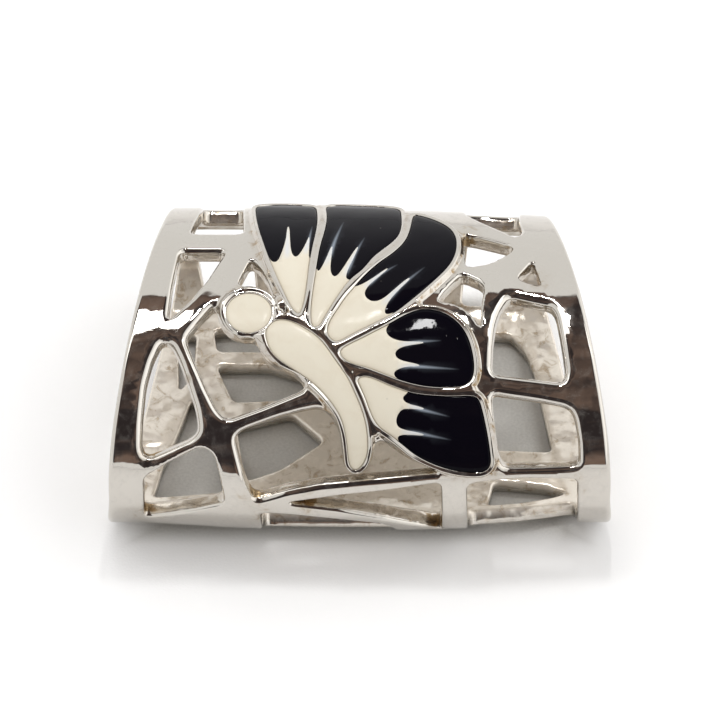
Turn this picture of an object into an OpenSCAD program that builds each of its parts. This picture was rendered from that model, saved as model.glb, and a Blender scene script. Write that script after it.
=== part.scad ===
// An openwork sleeve for a sash: a flattened tube of cast metal that a cord or scarf runs
// through, with an enamelled butterfly raised on its face. It lies on its back.
// X runs along the tube, Z is up, and the origin is on the surface below its middle.

/* [Sleeve] */
// Radius of the flat part of the face, across the tube
crown_r = 24; // [20:0.5:30]
// Radius of the two flanks
flank_r = 10; // [8:0.5:13]
// Radius of the corners beside the flat back
corner_r = 6.5; // [5:0.25:7.5]
// Angle from the middle of the face to the start of a flank
crown_a = 32; // [26:1:38]
// Angle from the middle of the face to the end of a flank
flank_a = 110; // [100:1:120]
// Thickness of the cast wall
wall = 1.6; // [1.2:0.1:2.2]
// Half the length of the tube, measured over its middle
half_len = 21.6; // [19:0.2:25]
// Angle by which each end is mitred, so that the near edge is the longer one
mitre_a = 9.4; // [4:0.2:13]

/* [Openwork] */
// Rounding of the corners of the openings
corner_cut = 0.7; // [0.2:0.1:1.2]

/* [Butterfly] */
// Height of the silver rims above the wall
rim_h = 0.55; // [0.3:0.05:0.9]
// Width of the silver rim round each enamelled cell
rim_w = 0.5; // [0.35:0.05:0.6]
// Thickness of the enamel
enamel_t = 0.8; // [0.5:0.05:1]
// How far the enamel stays below the top of its rim
enamel_drop = 0.08; // [0.02:0.02:0.2]
// Clearance round each piece of enamel
gap = 0.03; // [0.02:0.01:0.05]
// Radius of the enamelled head
head_r = 2.25; // [1.8:0.05:2.6]

/* [Hidden] */

// Length of an arc
function arc_len(r, from, to) = r * (to - from) * PI / 180;
crown_len = arc_len(crown_r, 0, crown_a);
flank_len = arc_len(flank_r, crown_a, flank_a);
corner_len = arc_len(corner_r, flank_a, 180);

// Centres of the three arcs of the section, as [out from the middle, height]
function from_centre(c, r, a) = c + r * [sin(a), cos(a)];
corner_x = (crown_r - flank_r) * sin(crown_a) + (flank_r - corner_r) * sin(flank_a);
corner_c = [corner_x, corner_r];
flank_c = from_centre(corner_c, corner_r - flank_r, flank_a);
crown_c = from_centre(flank_c, flank_r - crown_r, crown_a);
depth = 2 * (flank_c[0] + flank_r);
height = crown_c[1] + crown_r;

// The drawing of the openwork is in [u, v]: u along the tube and v round it from the middle of
// the face, positive on the near side. Its own units are for a tube of this half length and
// this girth from the middle to the end of a flank, and it stretches with the real ones.
draw_len = 21.6;
draw_girth = 27;
function along(u) = u * half_len / draw_len;
function round_by(v) = v * (crown_len + flank_len) / draw_girth;

// Tilt of the surface at a girth, 0 at the middle of the face and 180 on the back
function tilt_out(s) = s < crown_len ? s / crown_r * 180 / PI
    : s < crown_len + flank_len ? crown_a + (s - crown_len) / flank_r * 180 / PI
    : min(180, flank_a + (s - crown_len - flank_len) / corner_r * 180 / PI);
function tilt(v) = sign(v) * tilt_out(abs(round_by(v)));

// Point [y, z] of the section at a tilt, raised by h above the wall
function out_point(a, h) = a <= crown_a ? from_centre(crown_c, crown_r + h, a)
    : a <= flank_a ? from_centre(flank_c, flank_r + h, a)
    : from_centre(corner_c, corner_r + h, a);
function section_point(a, h) = let (p = out_point(abs(a), h)) [-sign(a) * p[0], p[1]];

// Steps of the polygon that stands for each arc
crown_steps = 6;
flank_steps = 13;
corner_steps = 9;
tilts = concat(
    [for (i = [0 : crown_steps - 1]) crown_a * i / crown_steps],
    [for (i = [0 : flank_steps - 1]) crown_a + (flank_a - crown_a) * i / flank_steps],
    [for (i = [0 : corner_steps]) flank_a + (180 - flank_a) * i / corner_steps]);
last_tilt = len(tilts) - 1;
function section(h) = concat(
    [for (i = [0 : last_tilt]) section_point(tilts[i], h)],
    [for (i = [last_tilt : -1 : 1]) section_point(-tilts[i], h)]);

// Length of the stock that the mitred ends are cut from
stock = 2 * (half_len + depth * tan(mitre_a));
module layer(h) {
    translate([-stock / 2, 0, 0])
        rotate([90, 0, 90])
            linear_extrude(stock)
                polygon(section(h));
}

// Twice the signed area of an outline
function turned(p) = let (n = len(p)) [for (i = [0 : n - 1])
    p[i][0] * p[(i + 1) % n][1] - p[(i + 1) % n][0] * p[i][1]] * [for (i = [0 : n - 1]) 1];

// An outline moved out by w along its own normals
function unit(d) = d / max(norm(d), 1e-6);
function outset(p, w) = let (n = len(p), s = sign(turned(p))) [for (i = [0 : n - 1])
    let (before = unit(p[i] - p[(i + n - 1) % n]), after = unit(p[(i + 1) % n] - p[i]),
        way = unit(before + after), mitre = max(0.6, way * after))
    p[i] + s * w / mitre * [way[1], -way[0]]];

// An outline with each corner cut off by a short curve that starts cut before the corner
bend_steps = 2;
bend_share = 0.4;
function bend(a, b, c, t) = (1 - t) * (1 - t) * a + 2 * t * (1 - t) * b + t * t * c;
function rounded(p, cut) = let (n = len(p)) [for (i = [0 : n - 1])
    let (before = p[(i + n - 1) % n] - p[i], after = p[(i + 1) % n] - p[i],
        a = p[i] + before * min(bend_share, cut / norm(before)),
        c = p[i] + after * min(bend_share, cut / norm(after)))
    for (k = [0 : bend_steps]) bend(a, p[i], c, k / bend_steps)];

// An outline softened all round by cutting each side at a quarter of its length from its ends
function softened(p) = let (n = len(p)) [for (i = [0 : n - 1])
    for (t = [0.25, 0.75]) (1 - t) * p[i] + t * p[(i + 1) % n]];

// A point of the drawing seen along the normal at girth v0, in that tangent plane
function seen(p, v0) = let (a = tilt(v0),
        off = section_point(tilt(p[1]), 0) - section_point(a, 0))
    [along(p[0]), off * [cos(a), sin(a)]];
function seen_all(pts, v0) = [for (p = pts) seen(p, v0)];

// Stands its children on the wall at girth v0, with Z along the normal there
module on_wall(v0) {
    spot = section_point(tilt(v0), 0);
    translate([0, spot[0], spot[1]])
        rotate([tilt(v0), 0, 0])
            children();
}

// How far a cut reaches past the wall, outwards and inwards
reach_out = 2;
reach_in = 3;
module prism(outline, v0) {
    on_wall(v0)
        translate([0, 0, -wall - reach_in])
            linear_extrude(wall + reach_in + reach_out)
                polygon(outline);
}

// Openings of the face and flanks: the girth that each is cut square to, then its outline
AIM = 0;
OUTLINE = 1;
OPENINGS = [
    // far edge, left of the wing
    [-13.5, [[-16.9, -8.3], [-11.6, -8.3], [-11.7, -13], [-11.9, -18.5], [-15.8, -18.5],
        [-16.1, -14]]],
    // left, between the end strip and the slanting bar
    [-0.5, [[-17.8, -5.3], [-13.2, -5.3], [-15, -1], [-16.6, 1.6], [-18.7, 4], [-18.4, 0]]],
    // small triangle over the head
    [-1, [[-10.7, -4], [-9.8, -2.8], [-9, -0.8], [-8.2, 1.9], [-9, 0.7], [-10.2, -0.2],
        [-12, -0.2], [-11.4, -2]]],
    // left of the body
    [8, [[-14, 2], [-15.5, 3.9], [-16.9, 6], [-15.9, 8.6], [-14.9, 11], [-13.8, 13.2], [-12.9, 14.1],
        [-9, 12.6], [-5.2, 11], [-6, 9.8], [-8.4, 8.7], [-9.6, 7.2], [-10, 6], [-11.6, 6],
        [-13, 5.2], [-13.7, 3.8]]],
    // left end, under the slanting bar
    [12, [[-19.2, 6.3], [-18.3, 6.6], [-17.4, 8.6], [-16.6, 11], [-15.9, 13.2], [-15.6, 15.2],
        [-16.3, 16.1], [-20.6, 18.3], [-21.1, 17.4], [-21, 14.5], [-20.7, 11], [-20.1, 8.5]]],
    // near left corner
    [21, [[-21, 20.2], [-18.6, 18.5], [-15.4, 16.7], [-14.1, 17.4], [-13.5, 20], [-13.1, 22.9],
        [-21, 26.2]]],
    // under the tail
    [17.5, [[-12.1, 15.9], [-11.4, 15.1], [-8, 13.8], [-5.5, 13.1], [-3.7, 12.8], [-2.6, 13.8],
        [-1.9, 15.4], [-1.7, 17], [-1.6, 18.4], [-0.7, 19.2], [0.4, 19.1], [1.2, 18.2],
        [1.4, 16.7], [2, 15.9], [4, 17.4], [5.2, 18.1], [7.9, 19.1], [4, 19.5], [0, 19.9],
        [-4, 20.4], [-7, 21.2], [-10.2, 22.6], [-11, 20.5]]],
    // near flank, over the thin slanting bar
    [24.5, [[-7.1, 23.4], [-2, 22], [2, 21.4], [7.9, 20.4], [8.1, 29.6], [6, 29.4], [3.2, 27.8],
        [-2, 25.4], [-6.8, 24]]],
    // near flank, under the thin slanting bar
    [29, [[-9.7, 25.3], [-7, 25.4], [-3, 26.6], [0, 28], [3, 29.6], [5, 32.5], [-9.4, 32.5]]],
    // far edge, right of the wing
    [-13, [[10.8, -13.8], [12.5, -11.3], [15.6, -8.1], [16.3, -9.5], [16.1, -12.5], [16.2, -18.5],
        [10.8, -18.5]]],
    // right of the upper wing
    [-5.5, [[10.3, -8.6], [11.6, -8.2], [15.3, -6.4], [15, -5.3], [13, -3.5], [10.5, -2.8],
        [10.4, -5]]],
    // between the wings
    [1.5, [[7.6, 1.8], [8.4, 0.4], [10.1, -1.9], [12.1, -0.6], [12.2, 0.4], [11.9, 2], [11.8, 4.9],
        [11.1, 3.5], [10, 2.4], [8.6, 1.8]]],
    // small triangle by the right end
    [-2, [[17.1, -3.9], [17.5, -2], [17.9, -0.1], [16.4, -0.7], [15.5, -1.3]]],
    // right, far window
    [5.5, [[14.7, 1.1], [17, 1.8], [18.7, 2.2], [19.2, 3.2], [19.6, 6], [20, 9.6], [19.6, 10.5],
        [17.5, 10.2], [12.9, 9.6], [13, 7], [13.3, 4.5], [13.8, 2.8]]],
    // right, near window
    [15.5, [[12.8, 11.6], [15, 12], [17.5, 12.4], [20.2, 13], [20.8, 14], [21.2, 16.5],
        [21.3, 19], [17, 19], [14, 18.9], [13.5, 17.6], [13.2, 15.4]]],
    // near right corner
    [26, [[10.4, 20.5], [13, 20.1], [16, 20], [21.2, 20.4], [21.3, 25], [21, 32], [16, 31],
        [10.8, 30.4], [10.6, 26]]],
    // far flank, four windows in a row
    [-26, [[-17.6, -20.5], [-11.4, -20.5], [-10.6, -32], [-15.8, -32]]],
    [-26, [[-9.4, -20.5], [-1.2, -20.5], [-0.8, -32], [-8.6, -32]]],
    [-26, [[1.2, -20.5], [9.4, -20.5], [8.6, -32], [0.8, -32]]],
    [-26, [[11.4, -20.5], [17.6, -20.5], [15.8, -32], [10.6, -32]]]];

// Openings of the back, in [u, y]: y is positive on the far side, in twentieths of half the depth
BACK = [
    [[6.6, 10.8], [15.6, 10.8], [17.2, 8], [18, 4], [19.4, -7], [5.6, -6]],
    [[13.4, -11.2], [18.6, -12], [20.4, -13.2], [19.4, -14], [16, -15.2], [12.6, -15.6]],
    [[-12.4, -3.2], [-7, -1.2], [-3.6, -5.4], [-8, -9.4], [-11.4, -11]],
    [[-20.4, -14.2], [-13.6, -12.6], [-14.4, -7], [-15.4, -3], [-17, 1], [-18.4, -4.8], [-19.6, -9]],
    [[-14.6, 5.8], [-9.4, 5.8], [-4.6, 3.8], [-4.2, 1], [-12.8, 0.4]],
    [[-15, 11.2], [-3.4, 11.2], [-3.8, 8], [-14.6, 8]],
    [[-1.6, 11.2], [4.8, 11.2], [3.8, -3], [-1.4, -2.6]],
    [[-18.6, 10.4], [-16.8, 10.6], [-17, 4.4], [-18.4, 2]]];
back_unit = depth / 2 / 20;

// Cells of the wings: the girth that each is cut square to, its outline, and its black part,
// whose fingers run into the cream and whose other sides lie outside the cell
BLACK = 2;
CELLS = [
    [-6, [[-10.5, -15], [-4.5, -15], [-4.2, -11.5], [-4.3, -8.3], [-4.7, -5.4], [-5, -2.5],
        [-5.2, 0.4], [-5.5, 2.6], [-5.9, 3.7], [-6.4, 3.2], [-6.9, 2.3], [-7.4, 1], [-8, -0.6],
        [-8.8, -3.1], [-9.4, -5.4], [-10, -8.2], [-10.4, -11.3]],
        [[-12, -17], [-12, -7.4], [-10, -5.4], [-9.1, -4.2], [-8.7, -3], [-8.1, -2.9], [-7.7, -4.2],
        [-7.3, -6.3], [-7.2, -8.8], [-7, -8.8], [-6.9, -6.3], [-6.8, -4.6], [-6.5, -3.7],
        [-6.1, -3.7], [-5.7, -5], [-5.4, -6.7], [-5.2, -6.7], [-5.2, -4.4], [-5, -3.4],
        [-4.2, -3.4], [-3.4, -17]]],
    [-5.5, [[-3.5, -15], [0, -15], [4.1, -14.2], [4.2, -11.4], [4.2, -9.2], [3.9, -7.3], [3.2, -6],
        [2.2, -4.8], [1.3, -3.7], [0.7, -2.6], [0.1, -1.7], [-0.7, -0.9], [-1.2, -0.2],
        [-1.9, 1], [-2.7, 2.5], [-3.4, 3.9], [-4, 5.1], [-4.7, 4.9], [-4.8, 3.3], [-4.6, 1],
        [-4.2, -2.5], [-3.9, -5.4], [-3.4, -8.2], [-3.2, -11.3]],
        [[-4.2, -17], [-4.4, -5.4], [-4.3, -2.4], [-4.1, -1.6], [-3.8, -2], [-3.5, -3.4],
        [-3.3, -5.2], [-3.1, -5.2], [-3, -3.4], [-2.9, -1.7], [-2.6, -0.9], [-2.2, -1], [-1.7, -2.1],
        [-1.2, -3.6], [-0.8, -5.2], [-0.6, -5.2], [-0.8, -3.4], [-1.2, -1.9], [-1.4, -0.7],
        [-0.9, -0.5], [0.6, -1.3], [5, -5.4], [5.4, -17]]],
    [-4.5, [[5.5, -12.2], [6.8, -11.4], [8.1, -10.2], [9.1, -8.8], [9.6, -7.1], [9.6, -5.2],
        [9.3, -3.7], [8.7, -2.3], [7.6, -0.8], [6.2, 0.8], [4.8, 2.2], [3.6, 3.3], [2.5, 4],
        [0.9, 4.9], [-0.6, 5.7], [-1.7, 6.4], [-2.4, 6.6], [-3, 6.1], [-3.2, 5.3], [-2.9, 4.3],
        [-2.2, 3.1], [-1.5, 1.8], [-0.6, 0.5], [0.2, -0.7], [1.1, -1.9], [2.1, -3.1], [3.2, -4.2],
        [4.2, -5.6], [4.8, -7.1], [5.1, -8.8], [5.3, -10.8]],
        [[5, -13.5], [4.2, -7.3], [2, -4.4], [0.2, -2], [-0.8, -0.4], [-0.6, 0.4], [0.2, 0.1],
        [1.4, -0.8], [2.7, -2.1], [2.8, -1.9], [1.8, -0.8], [0.8, 0.3], [0.4, 1.3], [0.9, 2.1],
        [1.7, 2.2], [2.5, 1.7], [3.6, 0.5], [4.8, -0.8], [5, -0.6], [3.8, 0.8], [2.8, 2.2],
        [2.4, 3.3], [2.6, 3.7], [3.4, 3.4], [4.4, 2.9], [6, 1.9], [10.6, -2.6], [10.6, -8.2],
        [8, -13]]],
    [7, [[-2, 7.5], [-1.2, 6.9], [0.2, 6.2], [1.6, 5.4], [2.9, 4.7], [4.1, 3.9], [5.2, 3.3],
        [6.3, 3], [7.6, 3.2], [8.8, 3.8], [9.9, 4.9], [10.6, 6.3], [11, 8], [11.1, 9.5],
        [10.8, 10.5], [10, 11], [8.4, 11.1], [6.6, 11], [5, 10.7], [3.4, 10.2], [1.9, 9.6],
        [0.6, 9.1], [-0.7, 8.8], [-1.6, 8.3]],
        [[4, 2.6], [3, 4.5], [2.5, 5.3], [2.8, 6.1], [4, 6.6], [6.2, 6.6], [6.2, 6.8], [4.6, 7],
        [3.6, 7.4], [3.4, 8], [3.9, 8.5], [5.8, 8.9], [5.8, 9.1], [4.4, 9.1], [3.4, 9.5],
        [3.3, 10], [3.9, 10.4], [5, 11.6], [12, 12.2], [12, 2]]],
    [14.5, [[-0.3, 10.3], [0.4, 10], [1.3, 10.2], [2.4, 10.7], [3.7, 11.2], [5.2, 11.7],
        [7, 11.9], [9, 12], [10.6, 11.9], [11.5, 12.1], [11.9, 13.5], [12.3, 15.3], [12.6, 17],
        [12.7, 18.2], [12.2, 18.9], [11, 19], [9.5, 18.8], [8, 18.4], [6.5, 17.8], [5.2, 17.1],
        [4.2, 16.3], [3.1, 15.5], [2.1, 14.9], [1.5, 14.3], [1, 13.3], [0.6, 12.2], [0.1, 11.1]],
        [[5.4, 10.8], [4.5, 11.7], [4.1, 12.1], [4.5, 12.6], [6.2, 13], [6.2, 13.2], [5, 13.1],
        [4.1, 13.1], [3.6, 13.7], [3.5, 14.4], [3.9, 14.9], [6.2, 15.3], [6.2, 15.5], [5, 15.4],
        [3.9, 15.4], [3.6, 15.7], [4, 16.3], [4.8, 18], [8, 20.4], [14, 20.4], [13.4, 11]]]];

// Outline of the body, from its neck round to the tail and back
BODY_AIM = 11;
BODY = [[-9.2, 5.9], [-9, 5], [-8.3, 4.3], [-7.4, 4.2], [-6.4, 4.5], [-5.2, 5.2], [-4.1, 6],
    [-3.2, 7.1], [-2.5, 8.2], [-1.7, 9.3], [-1, 10.4], [-0.5, 11.5], [0.1, 12.8], [0.6, 14.3],
    [0.8, 15.7], [0.8, 17], [0.4, 18], [-0.2, 18.6], [-0.8, 18.5], [-1.1, 17.8], [-1.2, 16.6],
    [-1.4, 15.2], [-1.8, 13.9], [-2.5, 12.8], [-3.5, 11.6], [-4.8, 10.4], [-6.3, 9.4],
    [-7.7, 8.5], [-8.7, 7.5]];
HEAD_AIM = 3.4;
head_u = -10.8;

// Outlines of the cells, of the black in them and of the body, each grown by w
function cell_outline(i, w) = softened(outset(seen_all(CELLS[i][OUTLINE], CELLS[i][AIM]), w));
function black_outline(i, w) = softened(outset(seen_all(CELLS[i][BLACK], CELLS[i][AIM]), w));
function body_outline(w) = softened(outset(seen_all(BODY, BODY_AIM), w));

module head_prism(r) {
    on_wall(HEAD_AIM)
        translate([along(head_u), 0, -wall / 2])
            cylinder(h = wall / 2 + reach_out, r = r, $fn = 48);
}

// All cells of the butterfly, each grown by w
module butterfly(w) {
    for (i = [0 : len(CELLS) - 1])
        prism(cell_outline(i, w), CELLS[i][AIM]);
    prism(body_outline(w), BODY_AIM);
    head_prism(head_r + w);
}

module between_mitres() {
    far = half_len - depth / 2 * tan(mitre_a);
    near = half_len + depth / 2 * tan(mitre_a);
    intersection() {
        children();
        translate([0, 0, -reach_out])
            linear_extrude(height + 2 * reach_out)
                polygon([[-near, -depth / 2], [near, -depth / 2], [far, depth / 2],
                    [-far, depth / 2]]);
    }
}

// The cast metal: tube, openwork and raised rims in one piece
module sleeve() {
    enamel_floor = rim_h - enamel_drop - enamel_t - gap;
    color("silver")
        difference() {
            between_mitres()
                difference() {
                    union() {
                        layer(0);
                        intersection() {
                            layer(rim_h);
                            butterfly(rim_w);
                        }
                    }
                    layer(-wall);
                    for (o = OPENINGS)
                        prism(rounded(seen_all(o[OUTLINE], o[AIM]), corner_cut), o[AIM]);
                    for (b = BACK)
                        translate([0, 0, -reach_out])
                            linear_extrude(wall + 2 * reach_out)
                                polygon(rounded([for (p = b) [along(p[0]), p[1] * back_unit]],
                                    corner_cut));
                }
            difference() {
                butterfly(0);
                layer(enamel_floor);
            }
        }
}

// The space that enamel fills between the floor of the cells and its own top
module enamel_layer() {
    difference() {
        layer(rim_h - enamel_drop);
        layer(rim_h - enamel_drop - enamel_t);
    }
}

module enamel_head() {
    color("ivory")
        intersection() {
            enamel_layer();
            head_prism(head_r - gap);
        }
}

module enamel_body() {
    color("ivory")
        intersection() {
            enamel_layer();
            prism(body_outline(-gap), BODY_AIM);
        }
}

module wing_black(i) {
    color("black")
        intersection() {
            enamel_layer();
            prism(cell_outline(i, -gap), CELLS[i][AIM]);
            prism(black_outline(i, 0), CELLS[i][AIM]);
        }
}

module wing_cream(i) {
    color("ivory")
        intersection() {
            enamel_layer();
            difference() {
                prism(cell_outline(i, -gap), CELLS[i][AIM]);
                prism(black_outline(i, gap), CELLS[i][AIM]);
            }
        }
}

sleeve();
enamel_head();
enamel_body();
wing_cream(0);  // wing_cream_1
wing_cream(1);  // wing_cream_2
wing_cream(2);  // wing_cream_3
wing_cream(3);  // wing_cream_4
wing_cream(4);  // wing_cream_5
wing_black(0);  // wing_black_1
wing_black(1);  // wing_black_2
wing_black(2);  // wing_black_3
wing_black(3);  // wing_black_4
wing_black(4);  // wing_black_5
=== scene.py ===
# %% [markdown]
# # An openwork sash sleeve with an enamelled butterfly
#
# The object is one silver-plated casting: a flattened tube that a sash cord or scarf runs
# through. Its face is pierced like a window lattice, and a butterfly stands on it, drawn by
# raised metal rims that hold cream and black enamel.
#
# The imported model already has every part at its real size. This script keeps that frame and
# gives the parts the look of the real ones: rounded bars, soft rims, domed enamel, worn plate.
#
# All sizes below are in millimetres, because that is how a maker would measure this object.
# They are turned into metres once, at the moment when a mesh is made.

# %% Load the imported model
import math

import bmesh
import bpy
import numpy as np
from mathutils import Matrix, Vector
from mathutils.geometry import delaunay_2d_cdt


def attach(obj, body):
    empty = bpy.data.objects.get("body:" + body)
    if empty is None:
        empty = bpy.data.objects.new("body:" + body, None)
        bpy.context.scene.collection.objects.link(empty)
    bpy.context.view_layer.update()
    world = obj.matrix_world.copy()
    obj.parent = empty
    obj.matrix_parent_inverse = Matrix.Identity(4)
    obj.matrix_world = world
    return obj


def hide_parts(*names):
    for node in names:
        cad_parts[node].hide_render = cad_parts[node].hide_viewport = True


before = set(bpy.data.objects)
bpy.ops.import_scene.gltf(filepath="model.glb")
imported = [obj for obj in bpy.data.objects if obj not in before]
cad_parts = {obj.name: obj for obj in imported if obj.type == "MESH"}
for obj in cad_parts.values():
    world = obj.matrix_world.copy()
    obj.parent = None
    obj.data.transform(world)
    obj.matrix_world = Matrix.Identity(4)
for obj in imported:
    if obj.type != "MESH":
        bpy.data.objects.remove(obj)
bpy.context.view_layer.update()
MM = 0.001
print("packed nodes:", len(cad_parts))

# %% [markdown]
# ## The section of the tube
#
# Cut across, the tube is a rounded D: a long flat crown, two flanks, two tighter corners and a
# flat back. Each of these is an arc or a line, so the whole section follows from three radii
# and two angles. The distance round the outside, from the middle of the face, is the girth.
#
# A pattern on such a tube is easiest to draw flat, as a sheet of u (along the tube) and girth,
# and to bend afterwards. A modifier could do the bending too, but it only bends along a curve
# and blurs the radii. The function below puts any number of points exactly on the arcs.

# %% Section of the tube
CROWN_R = 24.0
FLANK_R = 10.0
CORNER_R = 6.5
CROWN_A = math.radians(32)
FLANK_A = math.radians(110)
WALL = 1.6
HALF_LEN = 21.6
MITRE = math.tan(math.radians(9.4))

CROWN_END = CROWN_R * CROWN_A
FLANK_END = CROWN_END + FLANK_R * (FLANK_A - CROWN_A)
CORNER_END = FLANK_END + CORNER_R * (math.pi - FLANK_A)
CORNER_Y = (CROWN_R - FLANK_R) * math.sin(CROWN_A) + (FLANK_R - CORNER_R) * math.sin(FLANK_A)
FLANK_Y = CORNER_Y + (CORNER_R - FLANK_R) * math.sin(FLANK_A)
FLANK_Z = CORNER_R + (CORNER_R - FLANK_R) * math.cos(FLANK_A)
CROWN_Z = FLANK_Z + (FLANK_R - CROWN_R) * math.cos(CROWN_A)
HALF_GIRTH = CORNER_END + CORNER_Y
DEPTH = 2 * (FLANK_Y + FLANK_R)
HEIGHT = CROWN_Z + CROWN_R


def section_point(girth, h):
    """[y, z] of the section at a girth, raised by h above the outside of the wall."""
    g = np.mod(np.asarray(girth, float) + HALF_GIRTH, 2 * HALF_GIRTH) - HALF_GIRTH
    a = np.abs(g)
    tilt = np.where(a < CROWN_END, a / CROWN_R, CROWN_A + (a - CROWN_END) / FLANK_R)
    tilt = np.where(a > FLANK_END, FLANK_A + (a - FLANK_END) / CORNER_R, tilt)
    t = np.minimum(tilt, math.pi)
    out = np.where(a < CROWN_END, (CROWN_R + h) * np.sin(t), FLANK_Y + (FLANK_R + h) * np.sin(t))
    z = np.where(a < CROWN_END, CROWN_Z + (CROWN_R + h) * np.cos(t),
                 FLANK_Z + (FLANK_R + h) * np.cos(t))
    out = np.where(a > FLANK_END, CORNER_Y + (CORNER_R + h) * np.sin(t), out)
    z = np.where(a > FLANK_END, CORNER_R + (CORNER_R + h) * np.cos(t), z)
    out = np.where(a > CORNER_END, CORNER_Y - (a - CORNER_END), out)
    return -np.sign(g) * out, z


print(f"section {DEPTH:.1f} x {HEIGHT:.1f} mm, girth {2 * HALF_GIRTH:.1f} mm")

# %% [markdown]
# ## Not quite straight
#
# The real casting was cleaned up by hand, so it isn't regular. Its long near side swells between
# the ends, its far side leans out at the left and in at the right, the far right shoulder sits
# lower, and the two near feet end in square corners. A Lattice modifier could bend the finished
# mesh like that. Here the function that bends the sheet does it, one line for each of these, so
# the metal and the enamel bend alike and the enamel stays in its cells.

# %% Bend the sheet round the section
NEAR_BULGE = 1.28
SHOULDER_DROP = 0.7
FAR_BULGE = 0.42
FAR_LEAN = 1.6
FAR_HOLLOW = 1.1
FOOT_REACH = 0.8
FOOT_TOP = 8.0


def placed(u, girth, h):
    """Points of the sheet, bent round the section, in millimetres."""
    y, z = section_point(girth, h)
    along = u / HALF_LEN
    low = np.clip(1 - z / HEIGHT, 0, 1)
    near = np.clip(-y / (DEPTH / 2), 0, 1)
    far = np.clip(y / (DEPTH / 2), 0, 1)
    y = y - NEAR_BULGE * np.clip(1 - along ** 2, 0, 1) * near ** 2 * np.sqrt(low)
    y = y + FAR_BULGE * far ** 2 * (1 - FAR_LEAN * along - FAR_HOLLOW * along ** 2)
    u = u + FOOT_REACH * along ** 5 * near ** 2 * np.clip(1 - z / FOOT_TOP, 0, 1) ** 1.5
    z = z - SHOULDER_DROP * np.clip(along, 0, 1) ** 2 * far ** 0.5 * (z / HEIGHT) ** 2
    return np.stack([u, y, z], -1)


def end_at(girth):
    """Where the mitred end of the tube lies at a girth."""
    y, _ = section_point(girth, 0.0)
    return HALF_LEN - y * MITRE


print(f"length along the middle of the face: {2 * end_at(0.0):.1f} mm")

# %% [markdown]
# ## The drawing
#
# The openwork and the butterfly are drawn on the flat sheet, point by point, as an engraver
# would lay them out. Each row is one outline in [u, girth]. The back is drawn in [u, y], with
# y in twentieths of half the depth, because it is flat. Curve objects could hold the outlines
# too, but a table shows every point, and one number moves it.

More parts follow.
